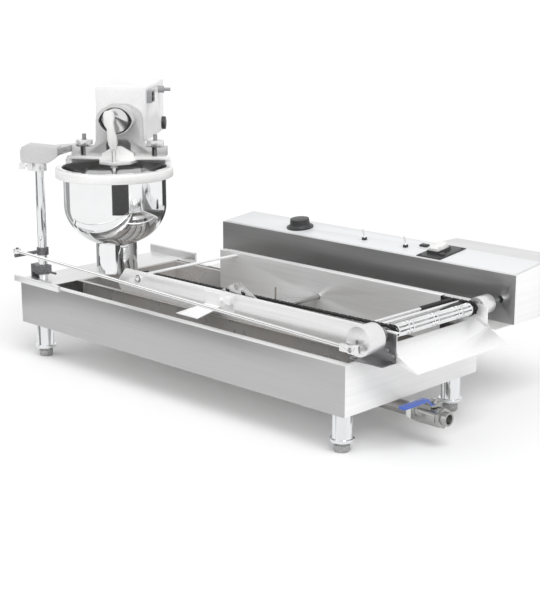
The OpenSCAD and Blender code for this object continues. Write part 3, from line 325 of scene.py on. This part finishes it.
def polished_steel(name, colour, rough, smudge=0.05):
    """Mirror-bright steel with faint wiping marks in its gloss."""
    finish, mirror = bare_finish(name, 1)
    wipe = noise(finish, 22, 6)
    tinted(finish, wipe, mirror.inputs["Base Color"], colour, 0.95, 1.04)
    mapped(finish, wipe, mirror.inputs["Roughness"], rough, rough + smudge, 0.35, 0.75)
    return finish


def turned(name, body, centre, axis, outline, finishes, steps, bands=None):
    """A lathe-turned ring; its closed outline is (radius, place along the axis) in millimetres."""
    shape = bmesh.new()
    way = Vector(axis).normalized()
    side = way.orthogonal().normalized()
    other = way.cross(side)
    rings = []
    for radius, place in outline:
        middle = centre + way * place / 1000
        rings.append([
            shape.verts.new(middle + (side * math.cos(a) + other * math.sin(a)) * radius / 1000)
            for a in (2 * math.pi * k / steps for k in range(steps))
        ])
    for index, (low, high) in enumerate(zip(rings, rings[1:] + rings[:1])):
        for k in range(steps):
            n = (k + 1) % steps
            face = shape.faces.new((low[k], low[n], high[n], high[k]))
            face.smooth = True
            if bands:
                face.material_index = bands[index]
    bmesh.ops.recalc_face_normals(shape, faces=shape.faces)
    mesh = bpy.data.meshes.new(name)
    shape.to_mesh(mesh)
    shape.free()
    mesh.set_sharp_from_angle(angle=SHARP)
    for finish in finishes:
        mesh.materials.append(finish)
    piece = bpy.data.objects.new(name, mesh)
    bpy.context.collection.objects.link(piece)
    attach(piece, body)
    return piece


leg_chrome = polished_steel("leg_chrome", (0.80, 0.81, 0.82), 0.09)
eased("leg_tubes", "base", "polished_steel", leg_chrome, edge=0.0008)
foot_zinc = dark_metal("foot_zinc", (0.42, 0.42, 0.42), 0.32, 420, 0.2)
for corner in ("front_left", "front_right", "rear_left", "rear_right"):
    eased("foot_" + corner, corner + "_foot", "dark_steel", foot_zinc, edge=0.0005)

# Conveyor sides. Two long plates folded out of bright sheet, with spacers to the chain guides. The
# front one leans in below its crease; the rear one has a flange outside and a chain cover inside.
plate_steel = brushed_steel(
    "plate_steel", (0.93, 0.93, 0.93), 0.34, marks=(6, 420, 420), metallic=0.35
)
eased("front_side_plate", "base", "case_sheet", plate_steel)
eased("rear_side_plate", "base", "case_sheet", plate_steel)
bracket_steel = brushed_steel("bracket_steel", (0.30, 0.30, 0.31), 0.38, marks=(6, 420, 420))
eased("end_bracket", "base", "bracket_sheet", bracket_steel)
bearing_steel = dark_metal("bearing_steel", (0.30, 0.30, 0.30), 0.4, 300)
eased("shaft_bearings", "base", "dark_steel", bearing_steel)
bolt_zinc = dark_metal("bolt_zinc", (0.38, 0.38, 0.38), 0.34, 500, 0.2)
eased("frame_bolts", "base", "dark_steel", bolt_zinc, edge=0.0006)
guide_steel = brushed_steel("guide_steel", (0.34, 0.34, 0.34), 0.4, marks=(6, 420, 420))
eased("chain_guides", "base", "tank_sheet", guide_steel)

# Chains. Two black roller chains run round the drive wheel, the idle wheel and the two lower turns.
# Each link is a pair of plates on a roller, and every second pair lies inside its neighbours.
PITCH = 9.5
PATH = [(972, 220), (311, 213), (356, 146), (790, 146)]
WHEEL = 10.5
FRONT_RUN, REAR_RUN = 95.5, 333.5
LINK_END, LINK_WAIST, LINK_HALF = 3, 2, 0.6
ROLLER_R, ROLLER_SIDES = 2, 8
ARC_STEPS = 12
chain_black = dark_metal("chain_black", (0.045, 0.045, 0.045), 0.38, 600)


def chain_line(y):
    """The chain's pitch line at one depth y: a closed curve of arcs and straight runs."""
    points = []
    for i, (x, z) in enumerate(PATH):
        px, pz = PATH[i - 1]
        nx, nz = PATH[(i + 1) % len(PATH)]
        start = math.atan2(x - px, -(z - pz)) + math.pi
        end = math.atan2(nx - x, -(nz - z)) + math.pi
        sweep = (end - start) % (2 * math.pi)
        for k in range(ARC_STEPS + 1):
            a = start + sweep * k / ARC_STEPS
            points.append(case_point(x + WHEEL * math.cos(a), y, z + WHEEL * math.sin(a)))
    line = bpy.data.curves.new("chain_line", "CURVE")
    line.dimensions = "3D"
    run = line.splines.new("POLY")
    run.points.add(len(points) - 1)
    for spot, p in zip(run.points, points):
        spot.co = (*p, 1)
    run.use_cyclic_u = True
    piece = bpy.data.objects.new("chain_line", line)
    bpy.context.collection.objects.link(piece)
    return piece


def link_shape(name, half):
    """One link: two waisted plates at plus and minus half the width, and the roller between."""
    shape = bmesh.new()
    outline = [
        (math.copysign(PITCH / 2, s) + LINK_END * math.cos(a), LINK_END * math.sin(a))
        for s, arc in ((1, (-60, -20, 20, 60)), (-1, (120, 160, 200, 240)))
        for a in (math.radians(t) for t in arc)
    ]
    outline.insert(4, (0, LINK_WAIST))
    outline.append((0, -LINK_WAIST))
    for y in (-half, half):
        rows = [
            [shape.verts.new((x / 1000, (y + t) / 1000, z / 1000)) for x, z in outline]
            for t in (-LINK_HALF, LINK_HALF)
        ]
        shape.faces.new(rows[0])
        shape.faces.new(rows[1][::-1])
        for k in range(len(outline)):
            n = (k + 1) % len(outline)
            shape.faces.new((rows[0][n], rows[0][k], rows[1][k], rows[1][n]))
    turns = [2 * math.pi * k / ROLLER_SIDES for k in range(ROLLER_SIDES)]
    spots = [(PITCH / 2 + ROLLER_R * math.cos(a), ROLLER_R * math.sin(a)) for a in turns]
    rim = [
        [shape.verts.new((x / 1000, y / 1000, z / 1000)) for x, z in spots]
        for y in (-half, half)
    ]
    for k in range(ROLLER_SIDES):
        n = (k + 1) % ROLLER_SIDES
        shape.faces.new((rim[0][k], rim[0][n], rim[1][n], rim[1][k]))
    shape.faces.new(rim[0][::-1])
    shape.faces.new(rim[1])
    bmesh.ops.recalc_face_normals(shape, faces=shape.faces)
    mesh = bpy.data.meshes.new(name)
    shape.to_mesh(mesh)
    shape.free()
    piece = bpy.data.objects.new(name, mesh)
    bpy.context.collection.objects.link(piece)
    return piece


def laid_along(name, line, step, finish, wide, narrow):
    """Geometry Nodes: the line's points take the wide link and the narrow one by turns."""
    group = bpy.data.node_groups.new(name + "_layout", "GeometryNodeTree")
    group.interface.new_socket("Geometry", in_out="INPUT", socket_type="NodeSocketGeometry")
    pitch = group.interface.new_socket("Pitch", in_out="INPUT", socket_type="NodeSocketFloat")
    group.interface.new_socket("Geometry", in_out="OUTPUT", socket_type="NodeSocketGeometry")
    n, join = group.nodes, group.links.new
    start, end = n.new("NodeGroupInput"), n.new("NodeGroupOutput")
    spaced = n.new("GeometryNodeResampleCurve")
    spaced.mode = "LENGTH"
    join(start.outputs[0], spaced.inputs["Curve"])
    join(start.outputs[1], spaced.inputs["Length"])
    tangent = n.new("GeometryNodeInputTangent")
    aim = n.new("FunctionNodeAlignRotationToVector")
    aim.axis = "X"
    aim.pivot_axis = "Y"
    join(tangent.outputs[0], aim.inputs["Vector"])
    index = n.new("GeometryNodeInputIndex")
    odd = n.new("ShaderNodeMath")
    odd.operation = "MODULO"
    odd.inputs[1].default_value = 2
    join(index.outputs[0], odd.inputs[0])
    even = n.new("ShaderNodeMath")
    even.operation = "SUBTRACT"
    even.inputs[0].default_value = 1
    join(odd.outputs[0], even.inputs[1])
    both = n.new("GeometryNodeJoinGeometry")
    for thing, which in ((wide, odd), (narrow, even)):
        info = n.new("GeometryNodeObjectInfo")
        info.inputs["Object"].default_value = thing
        put = n.new("GeometryNodeInstanceOnPoints")
        join(spaced.outputs[0], put.inputs["Points"])
        join(which.outputs[0], put.inputs["Selection"])
        join(info.outputs["Geometry"], put.inputs["Instance"])
        join(aim.outputs[0], put.inputs["Rotation"])
        join(put.outputs[0], both.inputs[0])
    real = n.new("GeometryNodeRealizeInstances")
    coat = n.new("GeometryNodeSetMaterial")
    coat.inputs["Material"].default_value = finish
    join(both.outputs[0], real.inputs[0])
    join(real.outputs[0], coat.inputs["Geometry"])
    join(coat.outputs[0], end.inputs[0])
    layout = line.modifiers.new("layout", "NODES")
    layout.node_group = group
    layout[pitch.identifier] = step
    bpy.context.view_layer.update()
    seen = bpy.context.evaluated_depsgraph_get()
    mesh = bpy.data.meshes.new_from_object(line.evaluated_get(seen))
    mesh.name = name
    bpy.data.objects.remove(line)
    piece = bpy.data.objects.new(name, mesh)
    bpy.context.collection.objects.link(piece)
    return piece


outer_link = link_shape("outer_link", 3.6)
inner_link = link_shape("inner_link", 2.2)
runs = []
for y in (FRONT_RUN, REAR_RUN):
    runs.append(laid_along(
        "chain_run_%d" % y, chain_line(y), PITCH / 1000, chain_black, outer_link, inner_link
    ))
bpy.data.objects.remove(outer_link)
bpy.data.objects.remove(inner_link)
for run in runs:
    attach(run, "base")
    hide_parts("chains")

# Rods and shafts. Ground bright bar: the push rods between the chains, the two rods before the
# barred drum, the drive shaft with its chain wheels, and the two idle stubs at the far end.
bright_bar = brushed_steel("bright_bar", (0.86, 0.865, 0.87), 0.2, marks=(300, 12, 300))
eased("push_rods", "base", "bright_rod", bright_bar)
eased("drive_shaft", "drive", "bright_rod", bright_bar)
eased("idle_shaft", "idler", "bright_rod", bright_bar)
eased("outfeed_drum", "drive", "bright_rod", bright_bar, edge=0.0004)

# Bead band. Black rubber beads threaded on the second rod's rear half, which wipe the doughnuts.
# Each bead is a short ring, and they sit close together.
BEADS = 30
BEAD_START, BEAD_STEP = 237, 3
BEAD_BORE, BEAD_NECK, BEAD_R = 3.02, 3.6, 4.8
bead_profile = [(BEAD_BORE, BEAD_START), (BEAD_NECK, BEAD_START)]
for bead in range(BEADS):
    y = BEAD_START + BEAD_STEP * bead
    bead_profile += [(BEAD_R, y + 1), (BEAD_R, y + 2), (BEAD_NECK, y + BEAD_STEP)]
bead_profile += [(BEAD_BORE, BEAD_START + BEAD_STEP * BEADS)]
turned(
    "bead_band", "base", case_point(928, 0, 229), (0, 1, 0),
    bead_profile, [chain_black], steps=20,
)

# Drums on the drive shaft. Turned alloy: the front one carries the crank pin in its slot, under a
# nut, and the rear one couples the shaft to the gear motor.


def cast_alloy(name, colour, rough, grain, depth, metallic=0.85):
    """Cast, blasted or turned aluminium with an even grain; grain is its count per metre."""
    finish, alloy = bare_finish(name, metallic)
    sand = noise(finish, grain, 4)
    cloud = noise(finish, 16, 2)
    tinted(finish, sand, alloy.inputs["Base Color"], colour, 0.95, 1.06, 0.3, 0.7)
    mapped(finish, cloud, alloy.inputs["Roughness"], rough - 0.07, rough + 0.07)
    bumped(finish, sand, alloy, depth, 0.0004)
    return finish


turned_alloy = cast_alloy("turned_alloy", (0.80, 0.80, 0.80), 0.30, 500, 0.08)
eased("shaft_drums", "drive", "turned_alloy", turned_alloy, edge=0.0012)

# Flipper. A perforated flap on its shaft lifts each doughnut over, and a holed plate before the
# chain cranks it. The stop is a strip folded down into the gutter and clamped to the front plate.
flap_steel = brushed_steel("flap_steel", (0.62, 0.62, 0.62), 0.34, marks=(200, 9, 200))
eased("flipper", "flipper_plate", "tank_sheet", flap_steel)
eased("flipper_stop", "base", "case_sheet", plate_steel)

# Chute. A plain slope of bright sheet that the doughnuts slide down, with a folded cheek at each
# side. It starts under the drum, between the plates.
eased("discharge_chute", "base", "case_sheet", plate_steel)

# Drain. Steel pipe from the tank's floor to a ball valve outside the case. White sealing tape shows
# where the valve screws on, and the flat handle has a dipped blue grip.
pipe_steel = brushed_steel("pipe_steel", (0.45, 0.44, 0.43), 0.4, marks=(30, 200, 200))


def smooth_paint(name, colour, rough, ripple, depth, coat=0.0):
    """Paint, dipped vinyl or moulded plastic with a faint ripple; ripple is its count per metre."""
    finish, film = bare_finish(name, 0)
    film.inputs["Coat Weight"].default_value = coat
    wave = noise(finish, ripple, 3)
    tinted(finish, wave, film.inputs["Base Color"], colour, 0.93, 1.05)
    mapped(finish, wave, film.inputs["Roughness"], rough - 0.05, rough + 0.05)
    bumped(finish, wave, film, depth, 0.0003)
    return finish


tape_white = smooth_paint("tape_white", (0.90, 0.90, 0.89), 0.6, 600, 0.4)
tape_x = case_point(966.5, 0, 0).x
eased(
    "drain_pipe", "base", "valve_metal", pipe_steel, tape_white,
    edge=0.001, pick=lambda p: int(p.x > tape_x),
)
valve_nickel = brushed_steel("valve_nickel", (0.40, 0.40, 0.39), 0.22, marks=(60, 200, 200))
eased("valve_body", "base", "valve_metal", valve_nickel, edge=0.0012)
eased("valve_ball", "valve_handle", "bright_rod", bright_bar)
grip_blue = smooth_paint("grip_blue", (0.05, 0.12, 0.50), 0.3, 90, 0.2, coat=0.4)
grip_y = case_point(0, 140, 0).y
eased(
    "valve_lever", "valve_handle", "blue_grip", valve_nickel, grip_blue,
    edge=0.0014, pick=lambda p: int(p.y < grip_y),
)

# Control box. A long brushed box with a sloping top stands on the rear shelf, over the gear motor,
# and a square housing is fixed behind its right end. A silver film covers the slope.
# Painted shade and light: the box's front takes a dark copy of its steel, and its right end the
# light end copy.
box_steel = brushed_steel("box_steel", (0.74, 0.74, 0.74), 0.34, marks=(5, 460, 460), metallic=0.8)
shaded_box_steel = brushed_steel("shaded_box_steel", (0.33, 0.33, 0.33), 0.36, marks=(5, 460, 460))
box_front = case_point(0, 430.6, 0).y
box_end = case_point(1005.2, 0, 0).x


def box_light_and_shade(p):
    """Painted shade darkens the front, and painted light brightens the right end."""
    return 1 if p.y < box_front else 2 if p.x > box_end else 0


eased("box_shelf", "base", "case_sheet", lit_sheet_steel)
for cover in ("control_box", "gear_housing"):
    eased(
        cover, "base", "case_sheet", box_steel, shaded_box_steel, lit_end_steel, edge=0.0010, pick=box_light_and_shade
    )
panel_silver = smooth_paint("panel_silver", (0.80, 0.81, 0.82), 0.38, 700, 0.05)
eased("control_panel", "base", "panel_film", panel_silver, edge=0.0002)
motor_grey = smooth_paint("motor_grey", (0.20, 0.21, 0.22), 0.45, 300, 0.2)
eased("gear_motor", "base", "motor_paint", motor_grey, edge=0.001)

# Controls. A black switch plate with the white mains rocker, two bright toggles in their hexagon
# nuts, a small lamp, and the thermostat knob on its skirt.
black_mould = smooth_paint("black_mould", (0.028, 0.028, 0.03), 0.42, 900, 0.25)
white_mould = smooth_paint("white_mould", (0.88, 0.88, 0.87), 0.35, 400, 0.05)
toggle_chrome = polished_steel("toggle_chrome", (0.80, 0.80, 0.80), 0.15)
eased("panel_fittings", "base", "black_plastic", black_mould, edge=0.0004)
eased("main_rocker", "rocker", "white_plastic", white_mould, edge=0.0008)
eased("toggle_left", "left_toggle", "polished_steel", toggle_chrome, edge=0)
eased("toggle_right", "right_toggle", "polished_steel", toggle_chrome, edge=0)
eased("thermostat_knob", "knob", "black_plastic", black_mould, edge=0.0008)

# Column. A polished bar that turns in its bracket on the deck. The lever at its foot and the long
# connecting rod swing the hopper to and fro as the front drum turns.
column_chrome = polished_steel("column_chrome", (0.82, 0.83, 0.84), 0.07)
lever_iron = dark_metal("lever_iron", (0.17, 0.17, 0.18), 0.4, 260)
eased("column_bracket", "base", "dark_steel", lever_iron, edge=0.0008)
eased("column", "swing", "polished_steel", column_chrome, edge=0.0008)
eased("swing_lever", "swing", "dark_steel", lever_iron, edge=0.0008)
rod_steel = polished_steel("rod_steel", (0.80, 0.80, 0.80), 0.14)
eased("connecting_rod", "rod", "bright_rod", rod_steel, edge=0.0006)

# Arm and yoke. Sand-cast alloy, lightly machined on the faces that meet. The clamp under the arm
# holds it on the column with a tee screw.
casting = cast_alloy("casting", (0.62, 0.62, 0.62), 0.40, 340, 0.14)
eased("column_clamp", "swing", "turned_alloy", turned_alloy, edge=0.001)
eased("clamp_screw", "clamp_handle", "polished_steel", toggle_chrome, edge=0.0005)
eased("arm", "swing", "cast_alloy", casting, edge=0.003)
eased("yoke", "swing", "cast_alloy", casting, edge=0.0022)

# Hopper. A spun bowl, polished inside and out, hangs by its flange in a pale alloy ring; its inside
# carries painted shade. The bridge lies across the rear of the flange, and the forming cylinder is
# pressed into the neck.
bowl_mirror = polished_steel("bowl_mirror", (0.86, 0.865, 0.87), 0.045, smudge=0.03)
# Painted shade: the inside is a darker copy of the same polished steel, standing in for the dark
# reflections in the bowl.
shaded_bowl_inside = polished_steel("shaded_bowl_inside", (0.50, 0.50, 0.50), 0.07, smudge=0.04)
pale_alloy = cast_alloy("pale_alloy", (0.90, 0.90, 0.895), 0.46, 420, 0.06, metallic=0.3)
COLUMN_AT = 36
ARM_REACH = 165
ARM_ANGLE = math.radians(39)
bowl_axis = case_point(
    COLUMN_AT + ARM_REACH * math.cos(ARM_ANGLE), COLUMN_AT + ARM_REACH * math.sin(ARM_ANGLE), 0
)
BOWL_R, BOWL_DEPTH, NECK_R = 112, 91, 45
WALL_FOOT = 346
SHEET = 1.5
CURVE_STEPS = 24


def bowl_curve(radius, depth, neck):
    """Points of a quarter ellipse from the straight wall down to the neck."""
    last = math.acos(neck / radius)
    turns = [last * k / CURVE_STEPS for k in range(CURVE_STEPS + 1)]
    return [(radius * math.cos(a), WALL_FOOT - depth * math.sin(a)) for a in turns]


flange = [(121.2, 427.5), (122, 426.8), (121.2, 426), (114, 426), (112, 424)]
outside = bowl_curve(BOWL_R, BOWL_DEPTH, NECK_R)
neck_lip = [(45, 198.4), (44.3, 198), (43.5, 198.4)]
inside = bowl_curve(BOWL_R - SHEET, BOWL_DEPTH - SHEET, NECK_R - SHEET)[::-1]
outer_count = len(flange + outside + neck_lip) - 1
bowl = turned(
    "spun_bowl", "swing", bowl_axis, (0, 0, 1),
    flange + outside + neck_lip + inside + [(110.5, 424), (112.5, 427.5)],
    [bowl_mirror, shaded_bowl_inside], steps=128,
    bands=[0] * outer_count + [1] * (len(inside) + 1) + [0] * 2,
)
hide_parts("hopper_bowl")
ring = turned(
    "clamp_ring", "swing", bowl_axis, (0, 0, 1),
    [(112.3, 406.6), (113, 406), (124.6, 406), (126.2, 406.8), (127, 408.6), (127, 423.4),
     (126.2, 425.2), (124.6, 426), (113, 426), (112.3, 425.4)],
    [pale_alloy], steps=128,
)
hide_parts("hopper_ring")
eased("hopper_bridge", "swing", "pale_alloy", pale_alloy, edge=0.0012)
eased("forming_cylinder", "swing", "pale_alloy", pale_alloy, edge=0.0004)

# Bolts and nuts of the yoke. Dark studs on the bridge stand in the yoke's open slots, and round
# thumb nuts with a collar below hold the yoke down on them.
stud_steel = dark_metal("stud_steel", (0.30, 0.30, 0.30), 0.32, 500)
eased("swing_bolts", "swing", "dark_steel", stud_steel, edge=0.0006)
eased("ring_nut_left", "left_nut", "turned_alloy", turned_alloy, edge=0.0012)
eased("ring_nut_right", "right_nut", "turned_alloy", turned_alloy, edge=0.0012)

# Plunger drive. A polished crank disc in the yoke's eye, the white link on its pin, the plunger rod
# in the bridge's guide, and the white piston inside the forming cylinder.
disc_steel = polished_steel("disc_steel", (0.74, 0.74, 0.74), 0.14)
eased("head_crank", "crank", "polished_steel", disc_steel, edge=0.0008)
eased("plunger_link", "link", "white_plastic", white_mould, edge=0.0010)
eased("plunger_rod", "plunger", "polished_steel", disc_steel, edge=0.0004)
eased("piston", "plunger", "white_plastic", white_mould, edge=0.0005)

# Head. A white painted steel box with a lift-off lid holds the plunger's motor. On its right side
# are a small black rocker in a grey block, a gland and a round black cap.
box_white = smooth_paint("box_white", (0.94, 0.94, 0.94), 0.32, 160, 0.05, coat=0.2)
switch_grey = smooth_paint("switch_grey", (0.34, 0.34, 0.35), 0.4, 400, 0.1)
arm_turn = Matrix.Rotation(-ARM_ANGLE, 3, "Z")
HEAD_HALF, HEAD_FRONT, HEAD_TOP = 55.5, 86, 590.5
BLOCK_BACK, GLAND_FRONT, CAP_FRONT = 147, 230, 275
FITTINGS_FOOT = 430
EDGE, LID_EDGE, SIDE_SKIN = 1.6, 1.2, 0.7


def head_finish(p):
    """Grey on the box's edges, the switch block and the gland, black on the round cap, or white."""
    along, back, _ = arm_turn @ (p - case_point(COLUMN_AT, COLUMN_AT, 0)) * 1000
    along -= ARM_REACH
    height = p.z * 1000
    near_side = abs(abs(along) - HEAD_HALF) < EDGE
    near_front = abs(back - HEAD_FRONT) < EDGE
    near_top = abs(height - HEAD_TOP) < LID_EDGE
    if near_side + near_front + near_top > 1:
        return 1
    if along < HEAD_HALF + SIDE_SKIN or height < FITTINGS_FOOT:
        return 0
    return 2 if back > CAP_FRONT else 1 if back < BLOCK_BACK or back > GLAND_FRONT else 0


eased(
    "head_housing", "swing", "white_paint", box_white, switch_grey, black_mould,
    edge=0.0012, pick=head_finish,
)
eased("head_motor", "swing", "motor_paint", motor_grey, edge=0.001)
eased("head_rocker", "rear_rocker", "black_plastic", black_mould, edge=0.0004)
